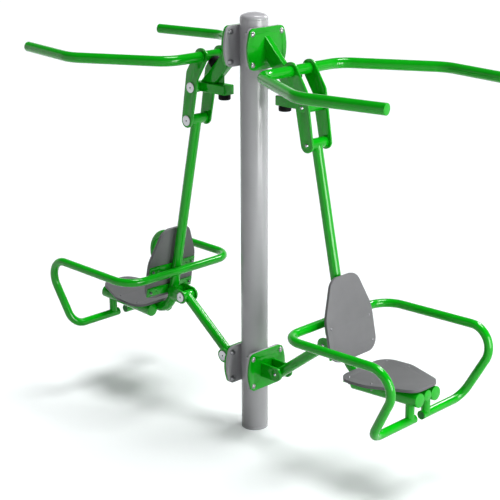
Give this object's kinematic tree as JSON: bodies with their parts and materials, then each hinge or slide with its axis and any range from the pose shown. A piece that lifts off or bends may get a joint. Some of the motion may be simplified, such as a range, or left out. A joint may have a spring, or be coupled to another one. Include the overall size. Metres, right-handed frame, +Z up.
{
  "type": "outdoor lat pulldown machine",
  "caption": "Park pulldown machine: a steel post carries seats back to back, each lifted by a four-bar linkage when its user pulls the overhead handlebar down.",
  "frame": {"origin": "centre of the post's foot, on the ground", "axes": "+X out along the right unit, +Y across the machine, +Z up"},
  "size_m": [2.4826, 1.1216, 2.2236],
  "materials": {
    "green_paint": "glossy green powder coat",
    "grey_paint": "satin grey powder coat",
    "stainless": "turned stainless steel",
    "bush_bronze": "plain bronze bushes, dull",
    "black_rubber": "moulded black rubber",
    "dark_plug": "dark green plastic plug",
    "board": "mid-grey plastic board, fine grain"
  },
  "bodies": {
    "post": {"post_tube": "grey_paint", "post_foot": "grey_paint", "post_cap": "grey_paint", "post_flanges": "grey_paint", "flange_bolts": "stainless", "flange_nuts": "stainless", "upper_plates": "green_paint", "lower_plates": "green_paint", "bracket_arms": "green_paint", "bracket_beams": "green_paint", "arm_gussets": "green_paint", "rocker_housings": "green_paint", "rocker_bushes": "bush_bronze", "rest_buffers": "black_rubber", "pull_buffers": "black_rubber", "lower_lugs": "green_paint", "lower_link_pins": "stainless"},
    "right_rocker": {"right_rocker_plates": "green_paint", "right_handlebar": "green_paint", "right_handlebar_caps": "green_paint", "right_rocker_pins": "stainless"},
    "right_seat": {"right_lift_housing": "green_paint", "right_lift_bushes": "bush_bronze", "right_lift_rod": "green_paint", "right_seat_rails": "green_paint", "right_tube_caps": "green_paint", "right_armrest_loop": "green_paint", "right_loop_plugs": "dark_plug", "right_loop_posts": "green_paint", "right_board_straps": "green_paint", "right_backrest_board": "board", "right_seat_board": "board", "right_board_screws": "stainless", "right_swing_lugs": "green_paint", "right_upper_link_pin": "stainless"},
    "right_link": {"right_link_tube": "green_paint", "right_link_eyes": "green_paint", "right_link_bushes": "bush_bronze"},
    "left_rocker": {"left_rocker_plates": "green_paint", "left_handlebar": "green_paint", "left_handlebar_caps": "green_paint", "left_rocker_pins": "stainless"},
    "left_seat": {"left_lift_housing": "green_paint", "left_lift_bushes": "bush_bronze", "left_lift_rod": "green_paint", "left_seat_rails": "green_paint", "left_tube_caps": "green_paint", "left_armrest_loop": "green_paint", "left_loop_plugs": "dark_plug", "left_loop_posts": "green_paint", "left_board_straps": "green_paint", "left_backrest_board": "board", "left_seat_board": "board", "left_board_screws": "stainless", "left_swing_lugs": "green_paint", "left_upper_link_pin": "stainless"},
    "left_link": {"left_link_tube": "green_paint", "left_link_eyes": "green_paint", "left_link_bushes": "bush_bronze"}
  },
  "joints": [
    {"name": "right_rocker_swing", "type": "hinge", "parent": "post", "child": "right_rocker", "pos_m": [0.389, 0, 1.806], "axis": [0, 1, 0], "range_deg": [0, 75]},
    {"name": "right_seat_hinge", "type": "hinge", "parent": "right_rocker", "child": "right_seat", "pos_m": [0.423, 0, 1.627], "axis": [0, 1, 0], "range_deg": [-81.3, 0]},
    {"name": "right_link_swing", "type": "hinge", "parent": "post", "child": "right_link", "pos_m": [0.193, 0, 0.363], "axis": [0, 1, 0], "range_deg": [-18.8, 0]},
    {"name": "left_rocker_swing", "type": "hinge", "parent": "post", "child": "left_rocker", "pos_m": [-0.389, 0, 1.806], "axis": [0, -1, 0], "range_deg": [0, 75]},
    {"name": "left_seat_hinge", "type": "hinge", "parent": "left_rocker", "child": "left_seat", "pos_m": [-0.423, 0, 1.627], "axis": [0, -1, 0], "range_deg": [-81.3, 0]},
    {"name": "left_link_swing", "type": "hinge", "parent": "post", "child": "left_link", "pos_m": [-0.193, 0, 0.363], "axis": [0, -1, 0], "range_deg": [-18.8, 0]}
  ],
  "couplings": [
    {"joint": "right_seat_hinge", "follows": "right_rocker_swing", "ratio": -1.0812},
    {"joint": "right_link_swing", "follows": "right_rocker_swing", "ratio": -0.2479},
    {"joint": "left_seat_hinge", "follows": "left_rocker_swing", "ratio": -1.0812},
    {"joint": "left_link_swing", "follows": "left_rocker_swing", "ratio": -0.2479}
  ]
}
